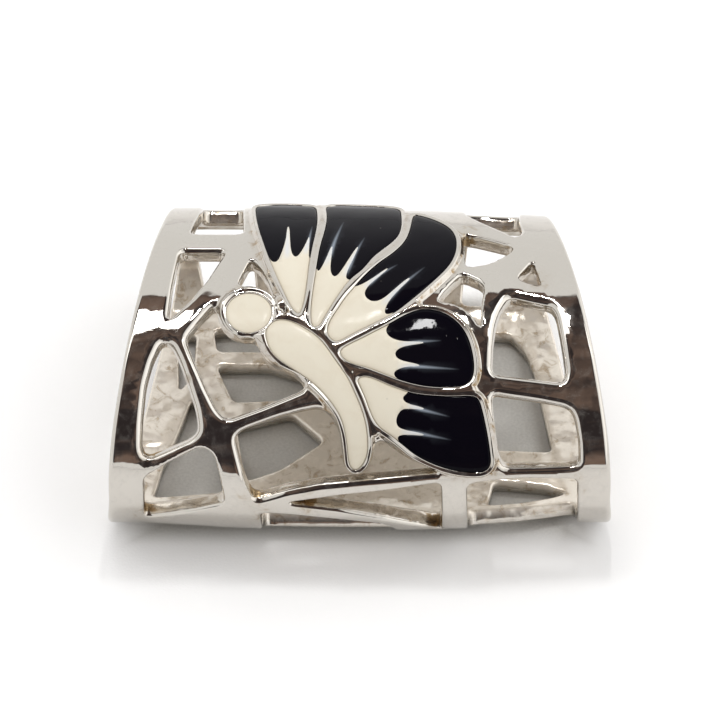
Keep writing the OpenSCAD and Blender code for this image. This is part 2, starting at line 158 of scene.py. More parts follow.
# %% Openings of the face and flanks
OPENINGS = {
    "far_left": [[-16.9, -8.3], [-11.6, -8.3], [-11.7, -13], [-11.9, -18.5], [-15.8, -18.5],
                 [-16.1, -14]],
    "left_of_bar": [[-17.8, -5.3], [-13.2, -5.3], [-15, -1], [-16.6, 1.6], [-18.7, 4], [-18.4, 0]],
    "over_head": [[-10.7, -4], [-9.8, -2.8], [-9, -0.8], [-8.2, 1.9], [-9, 0.7], [-10.2, -0.2],
                  [-12, -0.2], [-11.4, -2]],
    "left_of_body": [[-14, 2], [-15.5, 3.9], [-16.9, 6], [-15.9, 8.6], [-14.9, 11], [-13.8, 13.2],
                     [-12.9, 14.1], [-9, 12.6], [-5.2, 11], [-6, 9.8], [-8.4, 8.7], [-9.6, 7.2],
                     [-10, 6], [-11.6, 6], [-13, 5.2], [-13.7, 3.8]],
    "left_end": [[-19.2, 6.3], [-18.3, 6.6], [-17.4, 8.6], [-16.6, 11], [-15.9, 13.2],
                 [-15.6, 15.2], [-16.3, 16.1], [-20.6, 18.3], [-21.1, 17.4], [-21, 14.5],
                 [-20.7, 11], [-20.1, 8.5]],
    "near_left": [[-21, 20.2], [-18.6, 18.5], [-15.4, 16.7], [-14.1, 17.4], [-13.5, 20],
                  [-13.1, 22.9], [-21, 26.2]],
    "under_tail": [[-12.1, 15.9], [-11.4, 15.1], [-8, 13.8], [-5.5, 13.1], [-3.7, 12.8],
                   [-2.6, 13.8], [-1.9, 15.4], [-1.7, 17], [-1.6, 18.4], [-0.7, 19.2], [0.4, 19.1],
                   [1.2, 18.2], [1.4, 16.7], [2, 15.9], [4, 17.4], [5.2, 18.1], [7.9, 19.1],
                   [4, 19.5], [0, 19.9], [-4, 20.4], [-7, 21.2], [-10.2, 22.6], [-11, 20.5]],
    "over_thin_bar": [[-7, 22.6], [-2, 21.6], [2, 21.1], [7.9, 20.2], [8.1, 28.9], [6.4, 26.8],
                      [2.1, 24.8], [-2.2, 23.5], [-6.7, 22.8]],
    "under_thin_bar": [[-9.7, 24.2], [-6.7, 24.4], [-2.2, 25.1], [2.1, 26], [3.4, 27.5],
                       [3.8, 30.4], [-9.4, 30.4]],
    "far_right": [[10.8, -13.8], [12.5, -11.3], [15.6, -8.1], [16.3, -9.5], [16.1, -12.5],
                  [16.2, -18.5], [10.8, -18.5]],
    "by_upper_wing": [[10.3, -8.6], [11.6, -8.2], [15.3, -6.4], [15, -5.3], [13, -3.5],
                      [10.5, -2.8], [10.4, -5]],
    "between_wings": [[7.6, 1.8], [8.4, 0.4], [10.1, -1.9], [12.1, -0.6], [12.2, 0.4], [11.9, 2],
                      [11.8, 4.9], [11.1, 3.5], [10, 2.4], [8.6, 1.8]],
    "right_triangle": [[17.1, -3.9], [17.5, -2], [17.9, -0.1], [16.4, -0.7], [15.5, -1.3]],
    "right_upper": [[14.7, 1.1], [17, 1.8], [18.7, 2.2], [19.2, 3.2], [19.6, 6], [20, 9.6],
                    [19.6, 10.5], [17.5, 10.2], [12.9, 9.6], [13, 7], [13.3, 4.5], [13.8, 2.8]],
    "right_lower": [[12.8, 11.6], [15, 12], [17.5, 12.4], [20.2, 13], [20.8, 14], [21.2, 16.5],
                    [21.3, 19], [17, 19], [14, 18.9], [13.5, 17.6], [13.2, 15.4]],
    "near_right": [[10.4, 20.5], [13, 20.1], [16, 20], [21.2, 20.4], [21.3, 25], [21, 32],
                   [16, 31], [10.8, 30.4], [10.6, 26]],
    "far_flank_1": [[-17.6, -20.5], [-11.4, -20.5], [-10.6, -32], [-15.8, -32]],
    "far_flank_2": [[-9.4, -20.5], [-1.2, -20.5], [-0.8, -32], [-8.6, -32]],
    "far_flank_3": [[1.2, -20.5], [9.4, -20.5], [8.6, -32], [0.8, -32]],
    "far_flank_4": [[11.4, -20.5], [17.6, -20.5], [15.8, -32], [10.6, -32]],
}
print("openings of the face and flanks:", len(OPENINGS))

# %% Openings of the back
BACK_UNIT = DEPTH / 2 / 20
BACK_OPENINGS = {
    "back_right": [[6.6, 10.8], [15.6, 10.8], [17.2, 8], [18, 4], [19.4, -7], [5.6, -6]],
    "back_near_right": [[13.4, -11.2], [18.6, -12], [20.4, -13.2], [19.4, -14], [16, -15.2],
                        [12.6, -15.6]],
    "back_left": [[-12.4, -3.2], [-7, -1.2], [-3.6, -5.4], [-8, -9.4], [-11.4, -11]],
    "back_end_left": [[-20.4, -14.2], [-13.6, -12.6], [-14.4, -7], [-15.4, -3], [-17, 1],
                      [-18.4, -4.8], [-19.6, -9]],
    "back_slot": [[-14.6, 5.8], [-9.4, 5.8], [-4.6, 3.8], [-4.2, 1], [-12.8, 0.4]],
    "back_far_left": [[-15, 11.2], [-3.4, 11.2], [-3.8, 8], [-14.6, 8]],
    "back_middle": [[-1.6, 11.2], [4.8, 11.2], [3.8, -3], [-1.4, -2.6]],
    "back_corner": [[-18.6, 10.4], [-16.8, 10.6], [-17, 4.4], [-18.4, 2]],
}
print("openings of the back:", len(BACK_OPENINGS))

# %% Cells of the wings: the whole cell, then its black part
WING_CELLS = [
    ([[-10.5, -15], [-4.5, -15], [-4.2, -11.5], [-4.3, -8.3], [-4.7, -5.4], [-5, -2.5],
      [-5.2, 0.4], [-5.5, 2.6], [-5.9, 3.7], [-6.4, 3.2], [-6.9, 2.3], [-7.4, 1], [-8, -0.6],
      [-8.8, -3.1], [-9.4, -5.4], [-10, -8.2], [-10.4, -11.3]],
     [[-12, -17], [-12, -7.4], [-10, -5.4], [-9.1, -4.2], [-8.7, -3], [-8.1, -2.9], [-7.7, -4.2],
      [-7.3, -6.3], [-7.2, -8.8], [-7, -8.8], [-6.9, -6.3], [-6.8, -4.6], [-6.5, -3.7],
      [-6.1, -3.7], [-5.5, -5.1], [-5.05, -6.9], [-4.95, -6.9], [-5, -4.7], [-5, -3.4],
      [-4.2, -3.4], [-3.4, -17]]),
    ([[-3.5, -15], [0, -15], [4.1, -14.2], [4.2, -11.4], [4.2, -9.2], [3.9, -7.3], [3.2, -6],
      [2.2, -4.8], [1.3, -3.7], [0.7, -2.6], [0.1, -1.7], [-0.7, -0.9], [-1.2, -0.2], [-1.9, 1],
      [-2.7, 2.5], [-3.4, 3.9], [-4, 5.1], [-4.7, 4.9], [-4.8, 3.3], [-4.6, 1], [-4.2, -2.5],
      [-3.9, -5.4], [-3.4, -8.2], [-3.2, -11.3]],
     [[-4.2, -17], [-4.4, -5.4], [-4.3, -2.4], [-4.1, -1.6], [-3.8, -2], [-3.3, -3.4],
      [-2.8, -5.3], [-2.65, -5.3], [-2.8, -3.5], [-2.9, -1.7], [-2.6, -0.9], [-2.2, -1],
      [-1.6, -2.1], [-0.9, -3.7], [-0.25, -5.2], [-0.1, -5.2], [-0.6, -3.4], [-1.15, -1.9],
      [-1.4, -0.7], [-0.9, -0.5], [0.6, -1.3], [5, -5.4], [5.4, -17]]),
    ([[5.5, -12.2], [6.8, -11.4], [8.1, -10.2], [9.1, -8.8], [9.6, -7.1], [9.6, -5.2], [9.3, -3.7],
      [8.7, -2.3], [7.6, -0.8], [6.2, 0.8], [4.8, 2.2], [3.6, 3.3], [2.5, 4], [0.9, 4.9],
      [-0.6, 5.7], [-1.7, 6.4], [-2.4, 6.6], [-3, 6.1], [-3.2, 5.3], [-2.9, 4.3], [-2.2, 3.1],
      [-1.5, 1.8], [-0.6, 0.5], [0.2, -0.7], [1.1, -1.9], [2.1, -3.1], [3.2, -4.2], [4.2, -5.6],
      [4.8, -7.1], [5.1, -8.8], [5.3, -10.8]],
     [[5, -13.5], [4.2, -7.3], [2, -4.4], [0.2, -2], [-0.8, -0.4], [-0.6, 0.4], [0.2, 0.1],
      [1.4, -0.8], [2.7, -2.1], [2.8, -1.9], [1.8, -0.8], [0.8, 0.3], [0.4, 1.3], [0.9, 2.1],
      [1.7, 2.2], [2.5, 1.7], [3.6, 0.5], [4.8, -0.8], [5, -0.6], [3.8, 0.8], [2.8, 2.2],
      [2.4, 3.3], [2.6, 3.7], [3.4, 3.4], [4.4, 2.9], [6, 1.9], [10.6, -2.6], [10.6, -8.2],
      [8, -13]]),
    ([[-2, 7.5], [-1.2, 6.9], [0.2, 6.2], [1.6, 5.4], [2.9, 4.7], [4.1, 3.9], [5.2, 3.3], [6.3, 3],
      [7.6, 3.2], [8.8, 3.8], [9.9, 4.9], [10.6, 6.3], [11, 8], [11.1, 9.5], [10.8, 10.5],
      [10, 11], [8.4, 11.1], [6.6, 11], [5, 10.7], [3.4, 10.2], [1.9, 9.6], [0.6, 9.1],
      [-0.7, 8.8], [-1.6, 8.3]],
     [[4, 2.6], [3, 4.5], [2.5, 5.3], [2.8, 6.1], [4, 6.6], [6.2, 6.6], [6.2, 6.8], [4.6, 7],
      [3.6, 7.4], [3.4, 8], [3.9, 8.5], [5.8, 8.9], [5.8, 9.1], [4.4, 9.1], [3.4, 9.5],
      [3.3, 10], [3.9, 10.4], [5, 11.6], [12, 12.2], [12, 2]]),
    ([[-0.3, 10.3], [0.4, 10], [1.3, 10.2], [2.4, 10.7], [3.7, 11.2], [5.2, 11.7], [7, 11.9],
      [9, 12], [10.6, 11.9], [11.5, 12.1], [11.9, 13.5], [12.3, 15.3], [12.6, 17], [12.7, 18.2],
      [12.2, 18.9], [11, 19], [9.5, 18.8], [8, 18.4], [6.5, 17.8], [5.2, 17.1], [4.2, 16.3],
      [3.1, 15.5], [2.1, 14.9], [1.5, 14.3], [1, 13.3], [0.6, 12.2], [0.1, 11.1]],
     [[5.4, 10.8], [4.5, 11.7], [4.1, 12.1], [4.5, 12.6], [6.2, 13], [6.2, 13.2], [5, 13.1],
      [4.1, 13.1], [3.6, 13.7], [3.5, 14.4], [3.9, 14.9], [6.2, 15.3], [6.2, 15.5], [5, 15.4],
      [3.9, 15.4], [3.6, 15.7], [4, 16.3], [4.8, 18], [8, 20.4], [14, 20.4], [13.4, 11]]),
]

# %% Body and head
BODY = [[-9.2, 5.9], [-9, 5], [-8.3, 4.3], [-7.4, 4.2], [-6.4, 4.5], [-5.2, 5.2], [-4.1, 6],
        [-3.2, 7.1], [-2.5, 8.2], [-1.7, 9.3], [-1, 10.4], [-0.5, 11.5], [0.1, 12.8], [0.6, 14.3],
        [0.8, 15.7], [0.8, 17], [0.4, 18], [-0.2, 18.6], [-0.8, 18.5], [-1.1, 17.8],
        [-1.2, 16.6], [-1.4, 15.2], [-1.8, 13.9], [-2.5, 12.8], [-3.5, 11.6], [-4.8, 10.4],
        [-6.3, 9.4], [-7.7, 8.5], [-8.7, 7.5]]
HEAD_SPOT = (-10.8, 3.4)
HEAD_R = 2.25
print("cells:", len(WING_CELLS), "in the wings, a body and a head")

# %% [markdown]
# ## Smooth outlines
#
# The engraver's points are joined in two ways. An opening keeps its straight sides and gets a
# round corner, as a file would leave it. A cell of the butterfly is soft all round, so its
# corners are cut again and again, which is Chaikin's way of making a curve out of a polygon.
# Both are then walked at an even step, so that the triangles beside them come out even too.

# %% Rounding and walking an outline
CORNER_SHARE = 0.45


def with_round_corners(points, cut, steps=7):
    """Each corner becomes a short curve that starts cut before it."""
    p = np.array(points, float)
    before = np.roll(p, 1, 0) - p
    after = np.roll(p, -1, 0) - p
    reach_in = np.minimum(CORNER_SHARE, cut / np.linalg.norm(before, axis=1))
    reach_out = np.minimum(CORNER_SHARE, cut / np.linalg.norm(after, axis=1))
    a = p + before * reach_in[:, None]
    c = p + after * reach_out[:, None]
    t = np.linspace(0, 1, steps)[None, :, None]
    curve = (1 - t) ** 2 * a[:, None] + 2 * t * (1 - t) * p[:, None] + t ** 2 * c[:, None]
    return curve.reshape(-1, 2)


def softened(points, times=3):
    """A polygon whose corners are cut again and again."""
    p = np.array(points, float)
    for _ in range(times):
        q = np.roll(p, -1, 0)
        p = np.stack([0.75 * p + 0.25 * q, 0.25 * p + 0.75 * q], 1).reshape(-1, 2)
    return p


def walked(points, step):
    """The same closed line with a point at each even step, running anticlockwise."""
    p = np.array(points, float)
    x, y = p[:, 0], p[:, 1]
    if np.sum(x * np.roll(y, -1) - np.roll(x, -1) * y) < 0:
        p = p[::-1]
    closed = np.vstack([p, p[:1]])
    length = np.concatenate([[0], np.cumsum(np.linalg.norm(np.diff(closed, axis=0), axis=1))])
    count = max(8, int(round(length[-1] / step)))
    at = np.linspace(0, length[-1], count, endpoint=False)
    return np.stack([np.interp(at, length, closed[:, 0]), np.interp(at, length, closed[:, 1])], 1)


def outward(loop):
    """Unit normals that point out of an anticlockwise loop."""
    way = np.roll(loop, -1, 0) - np.roll(loop, 1, 0)
    way /= np.maximum(np.linalg.norm(way, axis=1), 1e-9)[:, None]
    return np.stack([way[:, 1], -way[:, 0]], 1)


# %% Girth of a point of the back
def back_girth(y):
    """Girth of a point of the flat back, or of the near corner beside it, at a given y."""
    y = np.asarray(y, float)
    beyond = np.clip((-y - CORNER_Y) / CORNER_R, 0, 1)
    on_corner = FLANK_END + CORNER_R * (math.pi - np.arcsin(beyond) - FLANK_A)
    return np.where(-y > CORNER_Y, on_corner, HALF_GIRTH + y)


# %% All the loops of the openwork
EDGE_STEP = 0.27
CORNER_CUT = 0.75

edge_loops = {}
for name, outline in OPENINGS.items():
    edge_loops[name] = walked(with_round_corners(outline, CORNER_CUT), EDGE_STEP)
for name, outline in BACK_OPENINGS.items():
    flat = [[u, float(back_girth(y * BACK_UNIT))] for u, y in outline]
    edge_loops[name] = walked(with_round_corners(flat, CORNER_CUT), EDGE_STEP)

CELL_STEP = 0.2
turns = np.linspace(0, 2 * math.pi, 60, endpoint=False)
head_loop = walked(np.stack([HEAD_SPOT[0] + HEAD_R * np.cos(turns),
                             HEAD_SPOT[1] + HEAD_R * np.sin(turns)], 1), CELL_STEP)
cell_loops = [walked(softened(cell), CELL_STEP) for cell, _ in WING_CELLS]
body_loop = walked(softened(BODY), CELL_STEP)
rim_loops = cell_loops + [body_loop, head_loop]
print("openings:", len(edge_loops), "rims:", len(rim_loops))

# %% [markdown]
# ## How far is it to the edge?
#
# Almost every form on this casting depends on one number: how far a point lies from the
# nearest edge. Close to an edge the metal rounds off, and close to a cell it rises into a rim.
# Blender's Bevel modifier rounds edges as well, but it can't raise a rim or let two rims melt
# into one. So the next functions measure distances on the flat sheet, and the forms become
# short rules about them.

# %% Distances on the sheet
BATCH = 4000


def to_segments(points, a, b):
    """Shortest distance from each point to any of the segments a to b."""
    best = np.full(len(points), 1e9)
    for k in range(0, len(points), BATCH):
        p = points[k:k + BATCH, None, :]
        d = (b - a)[None]
        t = np.clip(np.sum((p - a[None]) * d, -1) / np.maximum(np.sum(d * d, -1), 1e-12), 0, 1)
        gap = np.linalg.norm(p - a[None] - t[..., None] * d, axis=-1)
        best[k:k + BATCH] = gap.min(1)
    return best


def is_inside(points, loop):
    """Whether each point lies inside a closed loop."""
    x, y = points[:, 0:1], points[:, 1:2]
    ax, ay = loop[:, 0][None], loop[:, 1][None]
    bx, by = np.roll(loop[:, 0], -1)[None], np.roll(loop[:, 1], -1)[None]
    crosses = (ay > y) != (by > y)
    where = ax + (y - ay) * (bx - ax) / np.where(by == ay, 1e-12, by - ay)
    return (np.sum(crosses & (x < where), 1) % 2) == 1


def signed_distance(points, loops, reach):
    """Distance to the nearest loop, negative inside it, and no more than reach."""
    best = np.full(len(points), float(reach))
    for loop in loops:
        low, high = loop.min(0) - reach, loop.max(0) + reach
        close = np.where(np.all((points > low) & (points < high), 1))[0]
        if len(close) == 0:
            continue
        d = to_segments(points[close], loop, np.roll(loop, -1, 0))
        d = np.where(is_inside(points[close], loop), -d, d)
        best[close] = np.minimum(best[close], d)
    return best


# %% [markdown]
# ## The border of the sheet
#
# The sheet is the tube slit open along a line of the far corner where no opening lies. Its two
# short borders are the mitred ends of the tube, and its two long ones are the slit, whose
# points are matched one to one so that they weld into one another when the sheet is bent. A
# tube made by spinning the section would need no slit, but it couldn't be drawn on flat.

# %% Border of the sheet
SLIT = -34.0
END_POINTS = 341
SLIT_POINTS = 141
girths = np.linspace(SLIT, SLIT + 2 * HALF_GIRTH, END_POINTS)
right_end = np.stack([end_at(girths), girths], 1)
left_end = np.stack([-end_at(girths), girths], 1)
slit_u = np.linspace(-1, 1, SLIT_POINTS)[1:-1] * float(end_at(SLIT))
slit_low = np.stack([slit_u, np.full(len(slit_u), SLIT)], 1)
slit_high = np.stack([slit_u[::-1], np.full(len(slit_u), SLIT + 2 * HALF_GIRTH)], 1)
border = np.vstack([right_end, slit_high, left_end[::-1], slit_low])
ends_a = np.vstack([right_end[:-1], left_end[:-1]])
ends_b = np.vstack([right_end[1:], left_end[1:]])
REACH = 1.6
print("points on the border:", len(border))


def from_ends(points):
    """How far inside the mitred ends of the tube each point lies."""
    ends = np.full(len(points), REACH)
    inset = end_at(points[:, 1]) - np.abs(points[:, 0])
    close = np.where(inset < REACH)[0]
    far = np.minimum(REACH, to_segments(points[close], ends_a, ends_b))
    ends[close] = np.where(inset[close] < -1e-6, -far, far)
    return ends


def from_openings(points):
    """How far outside the nearest opening each point lies."""
    return signed_distance(points, list(edge_loops.values()), REACH)


def edge_distance(points):
    """How far into the metal each point lies."""
    return np.minimum(from_ends(points), from_openings(points))


def from_cells(points):
    """Distances to the nearest cell and to the next one, the first negative inside a cell."""
    every = np.stack([signed_distance(points, [loop], REACH) for loop in rim_loops])
    head = np.maximum(every[-1] - HEAD_RIM_EXTRA, 0)
    every[-1] = np.where(every[-1] > 0, head, every[-1])
    every.sort(0)
    return every[0], every[1]


# %% [markdown]
# ## Rules for the forms
#
# `round_over` is the quarter circle that a polished edge has. `rim_height` is the section of a
# rim: a sharp inner side that holds the enamel, a soft top, and a fillet that runs out into the
# wall, because rim and wall were poured in one. Both could be profiles swept along curves, but
# swept profiles cut through each other where two rims meet, and these heights blend there.

# %% Rules for the forms
EDGE_ROUND = 0.3
END_ROUND = 0.5
INSIDE_ROUND = 0.3
RIM_H = 0.55
RIM_W = 0.5
RIM_FOOT = 0.3
RIM_EASE = 0.13
HEAD_RIM_EXTRA = 0.25
RIM_FLAT = 0.6
CREST_AT = 0.28
CREST_FAR = 0.6
SHARED_RIM = 1.45
SHARED_FADE = 0.4
WIDE_ROUNDS = {"left_end": 0.75, "left_of_body": 0.7, "left_of_bar": 0.5,
               "right_upper": 0.75, "right_lower": 0.6, "under_tail": 0.55}
CELL_FLOOR = -0.36
CELL_DRAFT = 0.05
NORMAL_STEP = 0.02
print(f"rims stand {RIM_H} mm above the wall")


def round_over(distance, radius):
    """Depth below the surface, beside an edge that is rounded with this radius."""
    short = np.clip(radius - distance, 0, radius)
    return radius - np.sqrt(np.maximum(radius ** 2 - short ** 2, 0))


def smooth_step(x):
    x = np.clip(x, 0, 1)
    return x * x * (3 - 2 * x)


def rim_height(t, across):
    """Height above the wall at a distance t outside the nearest cell.

    Where two cells lie so close that the way across is short, they share one ridge.
    """
    run_out = 1 - smooth_step((t - RIM_FLAT * RIM_W) / ((1 - RIM_FLAT) * RIM_W + RIM_FOOT))
    shared = 1 - smooth_step((across - SHARED_RIM) / SHARED_FADE)
    to_crest = CREST_AT + shared * (np.clip(across / 2, CREST_AT, CREST_FAR) - CREST_AT)
    crest = RIM_H - RIM_EASE * np.clip(1 - t / to_crest, 0, 1) ** 2
    in_cell = CELL_FLOOR + (RIM_H - RIM_EASE - CELL_FLOOR) * np.clip(1 + t / CELL_DRAFT, 0, 1)
    return np.where(t >= 0, crest * np.maximum(run_out, shared), in_cell)


def outside_height(points):
    """Height of the outside of the casting above the plain wall."""
    nearest, next_one = from_cells(points)
    worn = round_over(np.maximum(from_ends(points), 0), END_ROUND)
    for name, loop in edge_loops.items():
        beside = np.maximum(signed_distance(points, [loop], REACH), 0)
        worn = np.maximum(worn, round_over(beside, WIDE_ROUNDS.get(name, EDGE_ROUND)))
    return rim_height(nearest, nearest + next_one) - worn


def inside_height(points):
    return round_over(np.maximum(edge_distance(points), 0), INSIDE_ROUND) - WALL


def true_normals(points, height):
    """Normals worked out from the form itself, so that no triangle shows in a reflection."""
    def beside(du, dg):
        moved = points + np.array([du, dg])
        return placed(moved[:, 0], moved[:, 1], height(moved))

    step = NORMAL_STEP
    along, around = beside(step, 0) - beside(-step, 0), beside(0, step) - beside(0, -step)
    normals = np.cross(around, along)
    normals /= np.linalg.norm(normals, axis=1)[:, None]
    level = height(points)
    outward_way = (placed(points[:, 0], points[:, 1], level + 0.1)
                   - placed(points[:, 0], points[:, 1], level))
    turned = np.sum(normals * outward_way, 1) < 0
    normals[turned] *= -1
    return normals


# %% [markdown]
# ## Points where the form needs them
#
# A grid would waste points on plain metal and starve the edges. Instead, each outline sends
# out rings of points at the distances where its form bends, as a chaser follows a line with
# several light strokes. Rings from two sides that meet in the middle of a bar stop there.

# %% Rings of points
def thinned(points, spacing, kept):
    """Drops each point that lies closer than spacing to one already kept."""
    cells = {}

    def key(p):
        return int(math.floor(p[0] / spacing)), int(math.floor(p[1] / spacing))

    for p in kept:
        cells.setdefault(key(p), []).append(p)
    result = []
    for p in points:
        i, j = key(p)
        near = [q for a in (-1, 0, 1) for b in (-1, 0, 1) for q in cells.get((i + a, j + b), ())]
        if all((p[0] - q[0]) ** 2 + (p[1] - q[1]) ** 2 >= spacing ** 2 for q in near):
            cells.setdefault((i, j), []).append(p)
            result.append(p)
    return np.array(result).reshape(-1, 2)


def ring(loops, distance):
    return np.vstack([loop + outward(loop) * distance for loop in loops])


def end_ring(distance):
    """Points beside both ends of the tube, distance into the metal."""
    inner = girths[1:-1]
    return np.vstack([np.stack([end_at(inner) - distance, inner], 1),
                      np.stack([distance - end_at(inner), inner], 1)])


def sheet_grid(spacing):
    """Even rows of points over the whole sheet, every second row set off by half a step."""
    rows = []
    count = int(2 * HALF_GIRTH / spacing)
    for i in range(1, count):
        g = SLIT + 2 * HALF_GIRTH * i / count
        end = float(end_at(g))
        us = np.arange(-end + spacing / 2, end, spacing) + (spacing / 4 if i % 2 else 0)
        rows.append(np.stack([us, np.full(len(us), g)], 1))
    return np.vstack(rows)


EDGE_RINGS = [0.025, 0.09, 0.19, 0.31, 0.46, 0.63]
END_RINGS = [0.06, 0.17, 0.32, 0.52, 0.8, 1.1]
RIM_RINGS = [-CELL_DRAFT, 0.0, 0.08, 0.17, 0.28, 0.4, 0.52, 0.66, 0.82]
RIM_CLEAR = 0.06
RIM_SLACK = 0.02
SHARP_SPACING = 0.045
SOFT_SPACING = 0.075
EDGE_SPACING = 0.05
RING_SLACK = 0.97


def points_for(with_rims, spacing):
    """The points of one side of the casting."""
    kept = np.vstack([border] + list(edge_loops.values()))
    found = np.zeros((0, 2))
    if with_rims:
        for t in RIM_RINGS:
            p = ring(rim_loops, t)
            p = p[signed_distance(p, rim_loops, REACH) > t - RIM_SLACK]
            p = p[edge_distance(p) > RIM_CLEAR]
            least = SHARP_SPACING if t <= 0 else SOFT_SPACING
            found = np.vstack([found, thinned(p, least, found)])
    for d, end_d in zip(EDGE_RINGS, END_RINGS):
        p = np.vstack([ring(edge_loops.values(), d), end_ring(end_d)])
        p = p[(from_openings(p) > RING_SLACK * d) & (from_ends(p) > RING_SLACK * end_d)]
        least = 0.5 * min(EDGE_STEP, max(EDGE_SPACING, 1.6 * d))
        found = np.vstack([found, thinned(p, least, np.vstack([found, kept]))])
    grid = sheet_grid(spacing)
    grid = grid[edge_distance(grid) > EDGE_RINGS[-1] + 0.1]
    return np.vstack([found, thinned(grid, 0.6 * spacing, found)])


# %% [markdown]
# ## From points to a closed skin
#
# A Boolean modifier could cut the openings out of a plain tube, but it leaves long thin
# triangles, and a mirror shows every one. A constrained Delaunay triangulation joins the points
# into well shaped triangles instead and keeps every outline as an edge. The outside and the
# inside of the wall are two such sheets.

# %% Triangles
def triangles_between(loops, extra, wanted):
    """Delaunay triangles over loops and loose points, where wanted(centres) is true."""
    points = [Vector(p) for loop in loops for p in loop] + [Vector(p) for p in extra]
    edges = []
    start = 0
    for loop in loops:
        n = len(loop)
        edges += [(start + i, start + (i + 1) % n) for i in range(n)]
        start += n
    made = delaunay_2d_cdt(points, edges, [], 0, 1e-6)
    flat = np.array([v[:] for v in made[0]])
    faces = np.array(made[2])
    return flat, faces[wanted(flat[faces].mean(1))]


def used_only(points, faces):
    """Drops points that no face uses."""
    used = np.unique(faces)
    new = np.full(len(points), -1)
    new[used] = np.arange(len(used))
    return points[used], new[faces]


def facing_up(flat, faces):
    """Turns each triangle anticlockwise."""
    a, b, c = flat[faces[:, 0]], flat[faces[:, 1]], flat[faces[:, 2]]
    area = (b - a)[:, 0] * (c - a)[:, 1] - (b - a)[:, 1] * (c - a)[:, 0]
    faces = faces.copy()
    faces[area < 0] = faces[area < 0][:, ::-1]
    return faces


# %% Mesh from points in millimetres
def new_object(name, points, faces, marks=None, normals=None, weld=None):
    """An object with smooth shading, with marks at its points for the materials to read.

    Where a normal is zero, Blender works it out from the faces.
    """
    mesh = bpy.data.meshes.new(name)
    mesh.from_pydata((np.asarray(points) * MM).tolist(), [], faces)
    for mark, values in (marks or {}).items():
        layer = mesh.attributes.new(mark, "FLOAT", "POINT")
        layer.data.foreach_set("value", np.asarray(values, dtype=np.float32))
    if normals is not None:
        layer = mesh.attributes.new("true_normal", "FLOAT_VECTOR", "POINT")
        layer.data.foreach_set("vector", np.asarray(normals, dtype=np.float32).ravel())
    mesh.validate()
    if weld:
        bm = bmesh.new()
        bm.from_mesh(mesh)
        bmesh.ops.remove_doubles(bm, verts=bm.verts, dist=weld * MM)
        bmesh.ops.recalc_face_normals(bm, faces=bm.faces)
        bm.to_mesh(mesh)
        bm.free()
    mesh.shade_smooth()
    if normals is not None:
        known = np.zeros(3 * len(mesh.vertices), dtype=np.float32)
        mesh.attributes["true_normal"].data.foreach_get("vector", known)
        mesh.attributes.remove(mesh.attributes["true_normal"])
        mesh.normals_split_custom_set_from_vertices(known.reshape(-1, 3).tolist())
    obj = bpy.data.objects.new(name, mesh)
    bpy.context.scene.collection.objects.link(obj)
    return obj


# %% [markdown]
# ## The casting
#
# Strips down the side of each opening and round both ends join the two sheets, so the casting
# is one closed skin, as a solid piece of metal has. It also carries two marks for its material.
# `inside` is 0 on the face and 1 in the bore, which nobody polished. The second mark is tarnish in
# the tight corners, and it is also painted shade: it is high at the foot of the rims, on the sides
# of the openings and all through the bore, where shade falls. Such a mark could be painted on by
# hand, but a mark that follows from the form is always in the right place.

# %% Where tarnish collects, and where shade is painted
TARNISH_SPOTS = [(-21, 25.4), (-20.3, 17.8), (-10.5, 22.2), (-9.2, 24.6), (-5, 22.6), (7.4, 27.9),
                 (3.3, 28.6), (12.9, 19.6), (20.8, 21), (17.3, -1.2), (10.9, -9)]
print("tarnished corners:", len(TARNISH_SPOTS))
TARNISH_REACH = 1.3
SPOT_ON_FACE = 0.7
SPOT_ON_SIDE = 1.1
# Painted shade at the foot of the rims, on the sides of the openings and in the bore.
RIM_SHADE = 0.8
RIM_SHADE_W = 0.25
SIDE_SHADE = 0.45
BORE_SHADE = 0.5


def tarnish(points):
    """1 in the corners where polish and dirt collect, falling to 0 around them."""
    found = np.zeros(len(points))
    for spot in TARNISH_SPOTS:
        off = np.linalg.norm(points - np.array(spot), axis=1)
        found = np.maximum(found, np.exp(-(off / TARNISH_REACH) ** 2))
    return found


# Painted shade along the foot of each rim, with tarnish in the marked corners.
def face_tarnish_and_shade(points):
    from_foot = from_cells(points)[0] - RIM_W - 0.5 * RIM_FOOT
    rim_foot_shade = RIM_SHADE * np.exp(-(from_foot / RIM_SHADE_W) ** 2)
    return np.maximum(rim_foot_shade, SPOT_ON_FACE * tarnish(points))


# %% The casting, sheet by sheet and strip by strip
FACE_GRID = 0.5
BORE_GRID = 0.7
LEAST_INSET = 1e-4
EDGE_ZONE = 0.01
SIDE_ROWS = (0, 1 / 3, 2 / 3, 1)
WELD = 0.002


